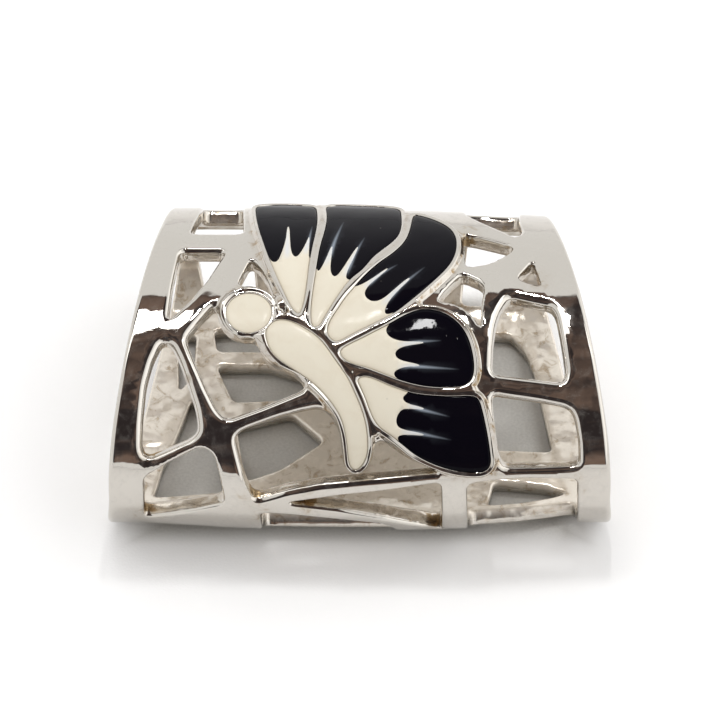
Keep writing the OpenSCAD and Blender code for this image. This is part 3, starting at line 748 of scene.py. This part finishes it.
def casting():
    loops = [border] + list(edge_loops.values())
    in_metal = lambda centres: edge_distance(centres) > LEAST_INSET
    points, normals, inside, tarnish_and_shade, faces = [], [], [], [], []

    def add(flat, height, ways, share, dark, new_faces):
        base = sum(len(p) for p in points)
        points.append(placed(flat[:, 0], flat[:, 1], height))
        normals.append(ways)
        inside.append(share)
        tarnish_and_shade.append(dark)
        faces.extend((np.array(new_faces) + base).tolist())

    for is_face in (True, False):
        extra = points_for(is_face, FACE_GRID if is_face else BORE_GRID)
        flat, tris = triangles_between(loops, extra, in_metal)
        flat, tris = used_only(flat, facing_up(flat, tris))
        n = len(flat)
        height = outside_height if is_face else inside_height
        ways = true_normals(flat, height) * (1 if is_face else -1)
        ways[edge_distance(flat) < EDGE_ZONE] = 0
        if is_face:
            add(flat, height(flat), ways, np.zeros(n), face_tarnish_and_shade(flat), tris)
        else:
            add(flat, height(flat), ways, np.ones(n), np.full(n, BORE_SHADE), tris[:, ::-1])
        print("face" if is_face else "bore", "triangles:", len(tris))

    rows = len(SIDE_ROWS)
    for loop, is_closed in [(p, True) for p in edge_loops.values()] + [(right_end, False),
                                                                       (left_end, False)]:
        n = len(loop)
        share = np.repeat(SIDE_ROWS, n)
        top, foot = np.tile(outside_height(loop), rows), np.tile(inside_height(loop), rows)
        quads = [[r * n + i, r * n + (i + 1) % n, (r + 1) * n + (i + 1) % n, (r + 1) * n + i]
                 for r in range(rows - 1) for i in range(n if is_closed else n - 1)]
        # Painted shade down the sides of the openings, with tarnish in the marked corners.
        dark = np.tile(SIDE_SHADE + SPOT_ON_SIDE * tarnish(loop), rows)
        add(np.tile(loop, (rows, 1)), top + share * (foot - top), np.zeros((rows * n, 3)),
            share, dark, quads)
    marks = {"inside": np.concatenate(inside), "tarnish_and_shade": np.concatenate(tarnish_and_shade)}
    return new_object("sleeve_casting", np.vstack(points), faces, marks, np.vstack(normals), WELD)


sleeve = casting()
print("casting:", len(sleeve.data.polygons), "faces")

# %% [markdown]
# ## Enamel
#
# The enamel was run into the cells as a liquid. It wets the rim, so it dips at the metal and
# swells a little in the middle. Black was laid in first and drawn out towards the body with a
# fine point, which left the fingers and the pale hairs between them.
#
# Each pool could be a flat plate with a Solidify and a Bevel modifier. Here its height follows
# from the distance to the rim, because cream and black then meet without a step.

# %% Hairs drawn through the enamel
HAIRS = [([(-7.15, -3.3), (-7.13, -8.9)], 0.19), ([(-5.4, -4), (-5, -6.5), (-4.7, -9.1)], 0.15),
         ([(-3.5, -2.2), (-2.9, -4), (-2.4, -6.4), (-1.55, -10)], 0.2),
         ([(-1.5, -0.8), (-0.45, -4.1), (0.55, -6.9)], 0.2),
         ([(0.4, 0.6), (2, -1.2), (3.8, -2.6)], 0.2),
         ([(2.2, 2.7), (3.95, 0.4), (6.5, -2.3)], 0.21),
         ([(3.6, 7), (5.9, 6.6), (8, 6.5)], 0.19), ([(3.6, 9.3), (4.9, 9.05), (9.7, 9.4)], 0.17),
         ([(4.5, 12.7), (6.05, 13.2), (8.75, 13.85)], 0.17),
         ([(3.8, 15.1), (5.85, 15.3), (8.9, 15.9)], 0.17)]
HAIR_ROOT = 1.1
HAIR_TAPER = 0.8
HAIR_FADE_IN = 0.3
HAIR_RAYS = (-1.7, -0.8, 0, 0.8, 1.7)
print("hairs:", len(HAIRS))


def hair_steps(path, step):
    """Points along a hair, each with its share of the way from root to tip."""
    line = np.array(path, dtype=float)
    far = np.concatenate([[0], np.cumsum(np.linalg.norm(np.diff(line, axis=0), axis=1))])
    at = np.linspace(0, far[-1], int(far[-1] / step))
    line = np.stack([np.interp(at, far, line[:, 0]), np.interp(at, far, line[:, 1])], 1)
    return line, at / far[-1]


def tapered(width, along):
    return width * (HAIR_ROOT - HAIR_TAPER * along)


def hair_mark(points):
    """How strongly a pale hair was drawn through each point of the enamel."""
    found = np.zeros(len(points))
    for path, width in HAIRS:
        line, along = hair_steps(path, 0.04)
        off = np.linalg.norm(points[:, None] - line[None], axis=2)
        nearest = np.argmin(off, 1)
        off, along = off[np.arange(len(points)), nearest], along[nearest]
        strength = smooth_step(along / HAIR_FADE_IN) * (1 - along ** 1.5)
        found = np.maximum(found, strength * np.exp(-(off / tapered(width, along)) ** 2))
    return found


def hair_points():
    """Points along both sides of every hair, close enough to carry its mark."""
    found = []
    for path, width in HAIRS:
        line, along = hair_steps(path, 0.08)
        side = np.gradient(line, axis=0)[:, ::-1] * [-1, 1]
        side = side / np.linalg.norm(side, axis=1)[:, None]
        for w in HAIR_RAYS:
            found.append(line + side * tapered(w * width, along)[:, None])
    return np.vstack(found)


# %% One pool of enamel
ENAMEL_T = 0.8
ENAMEL_DROP = 0.15
ENAMEL_GAP = 0.02
SWELL = 0.07
SWELL_REACH = 0.9
DIP = 0.05
DIP_REACH = 0.1
# How far from the rim the painted shade on the enamel reaches.
SHORE_SHADE_REACH = 0.3
POOL_REACH = 9
POOL_RINGS = (0.07, 0.18, 0.36, 0.6)
POOL_SPACING = 0.1
POOL_GRID = 0.42
GRID_MARGIN = 0.7
GRID_SPACING = 0.3
HAIR_MARGIN = 0.1
HAIR_SPACING = 0.05


def enamel(name, rim_loop, black_loop=None, is_black=False):
    """A pool of enamel: a swelling top, a flat underside and the skin between them."""
    loops = [rim_loop] if black_loop is None else [rim_loop, black_loop]

    def wanted(points):
        within = is_inside(points, rim_loop)
        if black_loop is not None:
            within &= is_inside(points, black_loop) == is_black
        return within

    def depth_at(points):
        return -signed_distance(points, [rim_loop], POOL_REACH)

    extra = np.zeros((0, 2))
    if black_loop is not None:
        hairs = hair_points()
        hairs = hairs[wanted(hairs) & (depth_at(hairs) > HAIR_MARGIN)]
        extra = thinned(hairs, HAIR_SPACING, extra)
    for d in POOL_RINGS:
        p = ring(loops, -d)
        extra = np.vstack([extra, thinned(p[depth_at(p) > 0.9 * d], POOL_SPACING, extra)])
    low, high = rim_loop.min(0), rim_loop.max(0)
    us, gs = np.meshgrid(np.arange(low[0], high[0], POOL_GRID),
                         np.arange(low[1], high[1], POOL_GRID))
    grid = np.stack([us.ravel(), gs.ravel()], 1)
    grid = grid[depth_at(grid) > GRID_MARGIN]
    extra = np.vstack([extra, thinned(grid, GRID_SPACING, extra)])

    flat, tris = triangles_between(loops, extra, wanted)
    flat, tris = used_only(flat, facing_up(flat, tris))
    depth = np.clip(depth_at(flat), 0, POOL_REACH)
    level = RIM_H - ENAMEL_DROP
    top = level + SWELL * (1 - np.exp(-depth / SWELL_REACH)) - DIP * np.exp(-depth / DIP_REACH)
    foot = np.full(len(flat), level - ENAMEL_T)
    points = np.vstack([placed(flat[:, 0], flat[:, 1], h) for h in (top, foot)])
    n = len(flat)
    faces = tris[:, ::-1].tolist() + (tris + n).tolist()
    ways = np.vstack([tris[:, [0, 1]], tris[:, [1, 2]], tris[:, [2, 0]]])
    known = set(map(tuple, ways.tolist()))
    faces += [[a, b, b + n, a + n] for a, b in known if (b, a) not in known]
    # The shore mark is painted shade: the enamel is darker beside the rims.
    marks = {"hair": np.tile(hair_mark(flat), 2),
             "shore_shade": np.tile(np.exp(-depth / SHORE_SHADE_REACH), 2)}
    return new_object(name, points, faces, marks)


# %% The enamel of the wings, body and head
def shrunk(loop):
    return loop - outward(loop) * ENAMEL_GAP


enamels = {}
for i, (_, black) in enumerate(WING_CELLS):
    rim_loop = shrunk(cell_loops[i])
    black_loop = walked(softened(black, 2), 0.1)
    for tone in ("black", "cream"):
        pool = enamel(f"{tone}_pool_{i + 1}", rim_loop, black_loop, tone == "black")
        enamels[f"wing_{tone}_{i + 1}"] = pool
for part, loop in (("body", body_loop), ("head", head_loop)):
    enamels["enamel_" + part] = enamel("pool_" + part, shrunk(loop))
print("pools of enamel:", len(enamels))

# %% [markdown]
# ## Materials
#
# Silver plate, then the two enamels. The plate is almost a mirror, so what makes it look real
# is what isn't perfect: the casting under it is a little wavy, and handling has left it duller
# in some places than in others. Photographs of metal could be laid over it, but they would show
# the room that they were taken in, so all of this comes from nodes. Three effects serve more
# than one material, so each of them is built once as a group of nodes. A group gives out a
# value, and each material decides its use.

# %% Tools for node trees
class Tree:
    """Short ways to add and join the nodes of one tree."""

    def __init__(self, tree):
        self.nodes, self.links = tree.nodes, tree.links

    def put(self, socket, value):
        if isinstance(value, bpy.types.NodeSocket):
            self.links.new(value, socket)
        else:
            socket.default_value = value

    def add(self, kind, settings=None, **inputs):
        node = self.nodes.new(kind)
        for key, value in (settings or {}).items():
            setattr(node, key, value)
        for key, value in inputs.items():
            self.put(node.inputs[key.replace("_", " ")], value)
        return node

    def math(self, operation, a, b=0.0, clamp=False):
        node = self.add("ShaderNodeMath", {"operation": operation, "use_clamp": clamp})
        self.put(node.inputs[0], a)
        self.put(node.inputs[1], b)
        return node.outputs[0]

    def times(self, a, b):
        return self.math("MULTIPLY", a, b)

    def plus(self, a, b, clamp=False):
        return self.math("ADD", a, b, clamp)

    def mix(self, amount, a, b):
        node = self.add("ShaderNodeMix", {"data_type": "RGBA"})
        self.put(node.inputs[0], amount)
        self.put(node.inputs[6], a)
        self.put(node.inputs[7], b)
        return node.outputs[2]

    def step(self, value, low, high):
        """0 below low, 1 above high and a smooth rise between them."""
        node = self.add("ShaderNodeMapRange", {"interpolation_type": "SMOOTHSTEP"}, Value=value,
                        From_Min=low, From_Max=high)
        return node.outputs[0]

    def place(self):
        return self.add("ShaderNodeTexCoord").outputs["Object"]

    def split(self, vector):
        return self.add("ShaderNodeSeparateXYZ", Vector=vector).outputs

    def noise(self, vector, scale, detail, **inputs):
        node = self.add("ShaderNodeTexNoise", Vector=vector, Scale=scale, Detail=detail, **inputs)
        return node.outputs["Fac"]


def new_group(name, inputs, output):
    """A node group with number inputs and one number output, and a Tree to fill it."""
    group = bpy.data.node_groups.new(name, "ShaderNodeTree")
    for key, value in inputs.items():
        socket = group.interface.new_socket(key, in_out="INPUT", socket_type="NodeSocketFloat")
        socket.default_value = value
    group.interface.new_socket(output, in_out="OUTPUT", socket_type="NodeSocketFloat")
    tree = Tree(group)
    entry = tree.add("NodeGroupInput")
    leave = tree.add("NodeGroupOutput")
    return group, tree, entry, leave


# %% Effects that several materials share
def wander_group():
    """Slow waves of a surface that was polished by hand."""
    group, tree, entry, leave = new_group("wander", {"Scale": 200.0}, "Height")
    wave = tree.noise(tree.place(), entry.outputs["Scale"], 1.0)
    tree.put(leave.inputs["Height"], wave)
    return group


def handling_group():
    """Patches dulled by fingers, 1 where the finish is dullest."""
    group, tree, entry, leave = new_group("handling", {"Scale": 240.0}, "Dull")
    patch = tree.noise(tree.place(), entry.outputs["Scale"], 5.0, Roughness=0.62, Distortion=0.7)
    tree.put(leave.inputs["Dull"], tree.step(patch, 0.44, 0.72))
    return group


def specks_group():
    """Single dust grains and pin pricks, 1 in the middle of each."""
    group, tree, entry, leave = new_group("specks", {"Scale": 700.0, "Share": 0.2}, "Speck")
    cells = tree.add("ShaderNodeTexVoronoi", Vector=tree.place(), Scale=entry.outputs["Scale"])
    chosen = tree.add("ShaderNodeSeparateColor", Color=cells.outputs["Color"]).outputs[0]
    chosen = tree.math("LESS_THAN", chosen, entry.outputs["Share"])
    spot = tree.step(cells.outputs["Distance"], 0.3, 0.08)
    tree.put(leave.inputs["Speck"], tree.times(spot, chosen))
    return group


wander, handling, specks = wander_group(), handling_group(), specks_group()
print("shared effects:", wander.name, handling.name, specks.name)


# %% Tools for materials
def new_material(name):
    mat = bpy.data.materials.new(name)
    mat.use_nodes = True
    return mat, Tree(mat.node_tree), mat.node_tree.nodes["Principled BSDF"]


def use(tree, group, **inputs):
    return tree.add("ShaderNodeGroup", {"node_tree": group}, **inputs).outputs[0]


def mark(tree, name):
    return tree.add("ShaderNodeAttribute", {"attribute_name": name}).outputs["Fac"]


def bumped(tree, layers):
    """A normal bent by several heights, each with its depth in millimetres."""
    normal = None
    for height, depth in layers:
        bump = tree.add("ShaderNodeBump", Height=height, Distance=depth * MM)
        if normal is not None:
            tree.put(bump.inputs["Normal"], normal)
        normal = bump.outputs["Normal"]
    return normal


# %% [markdown]
# ## Silver plate
#
# The face is bright plate with a thin haze and a few specks. The bore was never polished: its
# skin is wavy from the mould. Low down near the back the bore is painted paler, which is painted
# light, and it is less of a mirror there. A brown film lies in blots: in the tight corners it is
# tarnish and it is thickest there, and at the foot of the rims, on the sides of the openings and
# in the bore it is painted shade. A single metal colour would miss all of this, so each layer is
# mixed in by its mark.

# %% Silver plate
SILVER = (0.59, 0.56, 0.513, 1)
BORE_SILVER = (0.6, 0.55, 0.48, 1)
# Paler colour low in the bore: painted light.
PAINTED_LIGHT_METAL = (0.88, 0.82, 0.73, 1)
RAW_AND_PAINTED_LIGHT_UP_TO = (6.5 * MM, 2.5 * MM)
# Brown of the tarnish and of the painted shade in the hollows.
BROWN_TARNISH_AND_SHADE = (0.32, 0.23, 0.13, 1)
BROWN_SPECK = (0.3, 0.24, 0.17, 1)
POLISH_WAVES = 0.12
MOULD_WAVES = 0.28
FINE_WAVES = 0.02
GRAIN = 0.0015
SCRATCHES = 0.0006
PRICKS = 0.03


def silver_material():
    mat, tree, shader = new_material("silver_plate")
    inside, tarnish_and_shade = mark(tree, "inside"), mark(tree, "tarnish_and_shade")
    dull = use(tree, handling, Scale=260.0)
    blots = use(tree, handling, Scale=760.0)
    haze = use(tree, handling, Scale=880.0)
    speck = use(tree, specks, Scale=420.0, Share=0.05)
    place = tree.place()

    # The brown film: tarnish in the corners, and painted shade at the rim feet, on the opening
    # sides and in the bore.
    film_and_shade = tree.times(tarnish_and_shade, tree.plus(tree.math("POWER", blots, 1.9), 0.1))
    corner = tree.times(tree.step(tarnish_and_shade, 0.8, 1.35), 0.9)
    film_and_shade = tree.plus(tree.times(film_and_shade, 1.6), corner, clamp=True)
    # Painted light: low in the bore the colour is paler, and the metal is less of a mirror there.
    raw_and_painted_light = tree.times(inside, tree.step(tree.split(place)["Z"], *RAW_AND_PAINTED_LIGHT_UP_TO))
    metal = tree.mix(inside, SILVER, tree.mix(raw_and_painted_light, BORE_SILVER, PAINTED_LIGHT_METAL))
    colour = tree.mix(film_and_shade, metal, BROWN_TARNISH_AND_SHADE)
    colour = tree.mix(tree.times(speck, 0.6), colour, BROWN_SPECK)
    tree.put(shader.inputs["Base Color"], colour)

    rough = tree.plus(tree.times(dull, 0.05), 0.03)
    rough = tree.plus(rough, tree.times(inside, 0.11))
    rough = tree.plus(rough, tree.times(film_and_shade, 0.18))
    tree.put(shader.inputs["Roughness"], rough)
    matt = tree.plus(tree.times(inside, 0.25), tree.times(haze, 0.08))
    matt = tree.plus(matt, tree.times(raw_and_painted_light, 0.36))
    tree.put(shader.inputs["Metallic"], tree.math("SUBTRACT", 1.0, matt))

    drawn = tree.add("ShaderNodeMapping", Vector=place, Scale=(300, 4200, 4200),
                     Rotation=(0.2, 0.35, 0.5))
    scratch = tree.step(tree.noise(drawn.outputs[0], 1.0, 2.0), 0.68, 0.76)
    tree.put(shader.inputs["Normal"], bumped(tree, [
        (use(tree, wander, Scale=210.0), POLISH_WAVES),
        (tree.times(use(tree, wander, Scale=430.0), inside), MOULD_WAVES),
        (use(tree, wander, Scale=640.0), FINE_WAVES),
        (tree.noise(place, 2600.0, 3.0), GRAIN),
        (tree.math("SUBTRACT", 1.0, scratch), SCRATCHES),
        (tree.math("SUBTRACT", 1.0, speck), PRICKS)]))
    return mat


# %% [markdown]
# ## Enamel, cream and black
#
# Both enamels are the same stuff in two colours, so one function makes both. The colour clouds a
# little and turns pale along the hairs. Beside the rims it is darker, which is painted shade
# where the rims' shadow falls. The top has a faint orange peel from the firing, which breaks up
# its reflections.

# %% Cream enamel and black enamel
ENAMEL_DUST = (0.3, 0.28, 0.25, 1)
ENAMEL_WAVES = 0.06
ORANGE_PEEL = 0.005
ENAMEL_PRICKS = 0.01


def enamel_material(name, light, deep_and_shade, hair, spread, level, polish):
    mat, tree, shader = new_material(name)
    dull = use(tree, handling, Scale=330.0)
    cloud = use(tree, handling, Scale=520.0)
    speck = use(tree, specks, Scale=1900.0, Share=0.012)
    colour = tree.mix(tree.times(cloud, 0.22), light, deep_and_shade)
    # Painted shade: the colour is darker beside the rims.
    colour = tree.mix(tree.times(mark(tree, "shore_shade"), 0.45), colour, deep_and_shade)
    drawn = tree.times(tree.math("POWER", mark(tree, "hair"), spread), 0.85)
    colour = tree.mix(drawn, colour, hair)
    colour = tree.mix(tree.times(speck, 0.2), colour, ENAMEL_DUST)
    tree.put(shader.inputs["Base Color"], colour)
    tree.put(shader.inputs["Roughness"], tree.plus(tree.times(dull, 0.05), polish))
    shader.inputs["Specular IOR Level"].default_value = level
    tree.put(shader.inputs["Normal"], bumped(tree, [
        (use(tree, wander, Scale=260.0), ENAMEL_WAVES),
        (tree.noise(tree.place(), 900.0, 2.0), ORANGE_PEEL),
        (tree.math("SUBTRACT", 1.0, speck), ENAMEL_PRICKS)]))
    return mat


silver = silver_material()
cream = enamel_material("cream_enamel", light=(0.71, 0.662, 0.55, 1), deep_and_shade=(0.61, 0.53, 0.405, 1),
                        hair=(0.62, 0.65, 0.69, 1), spread=0.4, level=0.06, polish=0.1)
black = enamel_material("black_enamel", light=(0.0034, 0.0028, 0.0052, 1),
                        deep_and_shade=(0.002, 0.002, 0.004, 1), hair=(0.42, 0.48, 0.56, 1), spread=1.0,
                        level=0.06, polish=0.02)
print("materials:", silver.name, cream.name, black.name)

# %% [markdown]
# ## Dress the pieces
#
# Each piece gets its material, rides the one body that the imported model has, and takes the
# place of one imported node. Parenting by hand would look the same here, but these calls also
# hang each part under an empty named for its body.

# %% Dress the pieces
sleeve.data.materials.append(silver)
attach(sleeve, "root")
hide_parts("sleeve")
for node, piece in enamels.items():
    is_black = "black" in node
    piece.data.materials.append(black if is_black else cream)
    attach(piece, "root")
    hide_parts(node)
print("dressed pieces:", 1 + len(enamels))

# %% [markdown]
# ## Camera
#
# The camera looks down at the near side from 50 degrees. A short lens close by would make the
# near side of such a small thing look huge, so this is a long lens, 400 mm away. Its aim is
# given as the point of the picture where the middle of the sleeve has to come.

# %% Camera
VIEW_UP = math.radians(50)
CAMERA_FAR = 400.0
FRAME_PX = 710
FOCAL_PX = 4000
AIM_SPOT = Vector((0, 0, 9.91))
AIM_PX = (359.5, 351.6)

camera_data = bpy.data.cameras.new("camera")
camera_data.sensor_width = 36
camera_data.lens = 36 * FOCAL_PX / FRAME_PX
camera_data.clip_start = 0.01
camera_data.clip_end = 10
camera = bpy.data.objects.new("camera", camera_data)
bpy.context.scene.collection.objects.link(camera)
back = Vector((0, -math.cos(VIEW_UP), math.sin(VIEW_UP)))
right = Vector((1, 0, 0))
up = back.cross(right)
px = CAMERA_FAR / FOCAL_PX
middle = AIM_SPOT - right * (AIM_PX[0] - FRAME_PX / 2) * px + up * (AIM_PX[1] - FRAME_PX / 2) * px
turn = Matrix((right, up, back)).transposed()
camera.matrix_world = Matrix.Translation((middle + back * CAMERA_FAR) * MM) @ turn.to_4x4()
bpy.context.scene.camera = camera
print(f"camera: lens {camera_data.lens:.0f} mm, {CAMERA_FAR:.0f} mm away")

# %% [markdown]
# ## Floor
#
# The sleeve lies on plain pale paper. Almost no light gets to the paper under the sleeve, and
# its shadow alone would come out too weak because the room is so bright. So the paper itself is
# mixed with grey there, inside the outline of the back.

# %% Floor
FLOOR_SIZE = 3000.0
FLOOR_DROP = 0.05
PAPER = (0.97, 0.97, 0.97, 1)
SHADE_TONES = ((0.42, 0.41, 0.39, 1), (0.62, 0.61, 0.58, 1))
SHADE_EDGE = (0.98, 0.8)
PAPER_FIBRE = 0.02


def floor():
    """A sheet of pale paper, a little grey where the sleeve keeps the light off it."""
    mat, tree, shader = new_material("floor_paper")
    place = tree.place()
    x, y, _ = tree.split(place)
    mitred = tree.math("SUBTRACT", HALF_LEN * MM, tree.times(y, MITRE))
    along = tree.math("DIVIDE", tree.math("ABSOLUTE", x), mitred)
    across = tree.math("DIVIDE", tree.math("ABSOLUTE", y), DEPTH / 2 * MM)
    shade = tree.step(tree.math("MAXIMUM", along, across), *SHADE_EDGE)
    fibre = tree.noise(place, 3500.0, 4.0)
    colour = tree.mix(shade, PAPER, tree.mix(fibre, *SHADE_TONES))
    tree.put(shader.inputs["Base Color"], colour)
    shader.inputs["Roughness"].default_value = 0.8
    shader.inputs["Specular IOR Level"].default_value = 0.2
    tree.put(shader.inputs["Normal"], bumped(tree, [(fibre, PAPER_FIBRE)]))
    half = FLOOR_SIZE / 2
    corners = [(-half, -half, 0), (half, -half, 0), (half, half, 0), (-half, half, 0)]
    obj = new_object("floor", corners, [(0, 1, 2, 3)])
    obj.data.materials.append(mat)
    obj.location.z = -FLOOR_DROP * MM


floor()
print(f"floor: {FLOOR_SIZE:.0f} mm square")

# %% [markdown]
# ## The room and its lights
#
# A mirror shows the room and not the lamp, so the room is painted first. Behind the object and
# at its sides it is bright, and brightest at the right. In front of it and overhead it is dark,
# as it is behind a photographer, and that gives the crown its deep band with a crisp border.
# Two soft boxes hang in that dark, a little behind the sleeve, and leave white glints on the
# rims. Real panels could stand round the object, but a painted room has no parts in the way.

# %% The room around it
ROOM_BRIGHT = (1.03, 1.03, 1.025, 1)
ROOM_SIDE = (1.65, 1.65, 1.64, 1)
ROOM_SIDE_FROM = (0.5, 0.8)
ROOM_DARK = (0.042, 0.034, 0.035, 1)
ROOM_WARM = (0.26, 0.18, 0.145, 1)
DARK_LEAN = (-36.5, 86.5)
DARK_X = (-0.58, 0.42)
SOFTBOX = (2.2, 2.2, 2.2, 1)
SOFTBOX_LEAN = (-25, -11)
SOFTBOXES_X = ((-0.75, -0.11), (0.28, 0.75))


def studio():
    world = bpy.data.worlds.new("studio")
    bpy.context.scene.world = world
    world.use_nodes = True
    world.node_tree.nodes.clear()
    tree = Tree(world.node_tree)
    way = tree.add("ShaderNodeTexCoord").outputs["Generated"]
    x, y, z = tree.split(way)
    lean = tree.math("DEGREES", tree.math("ARCTAN2", tree.times(y, -1), z))

    def band(value, low, high, soft):
        """1 between low and high, falling to 0 over soft inside them."""
        return tree.times(tree.step(value, low, low + soft), tree.step(value, high, high - soft))

    dark = tree.times(band(lean, *DARK_LEAN, 1.5), band(x, *DARK_X, 0.06))
    warm = tree.step(tree.noise(way, 3.4, 2.0, Roughness=0.5), 0.45, 0.78)
    bright = tree.mix(tree.step(x, *ROOM_SIDE_FROM), ROOM_BRIGHT, ROOM_SIDE)
    room = tree.mix(dark, bright, tree.mix(warm, ROOM_DARK, ROOM_WARM))
    boxes = tree.plus(*[band(x, *sides, 0.02) for sides in SOFTBOXES_X])
    boxes = tree.times(boxes, band(lean, *SOFTBOX_LEAN, 1))
    glow = tree.add("ShaderNodeBackground", Color=tree.mix(boxes, room, SOFTBOX))
    out = tree.add("ShaderNodeOutputWorld")
    tree.put(out.inputs["Surface"], glow.outputs[0])


studio()
print("soft boxes:", len(SOFTBOXES_X))

# %% [markdown]
# Three lamps do the rest. Two small ones high behind the sleeve show as burnt-out patches, one
# in the plate at the left end and one in the upper wing. A large soft one fills the floor from
# above and is hidden from mirrors. A sun lamp would be simpler, but it has no shape, so it would
# leave points in place of patches.

# %% Lamps
LAMP_AIM = Vector((0, 0, 10))


def lamp(name, spot, size, power, in_mirrors=True):
    data = bpy.data.lights.new(name, "AREA")
    data.shape = "RECTANGLE"
    data.size, data.size_y = [side * MM for side in size]
    data.energy = power
    obj = bpy.data.objects.new(name, data)
    bpy.context.scene.collection.objects.link(obj)
    spot = Vector(spot)
    turn = (LAMP_AIM - spot).to_track_quat("-Z", "Y").to_matrix().to_4x4()
    obj.matrix_world = Matrix.Translation(spot * MM) @ turn
    obj.visible_glossy = in_mirrors
    obj.visible_camera = False


lamp("lamp_over_left", (-46, 108, 320), (66, 60), 0.09)
lamp("lamp_over_wing", (12, 104, 320), (8, 36), 0.12)
lamp("fill", (0, 0, 900), (1400, 1400), 3.5, in_mirrors=False)

view = bpy.context.scene.view_settings
view.view_transform = "Standard"
print("lamps:", len(bpy.data.lights))
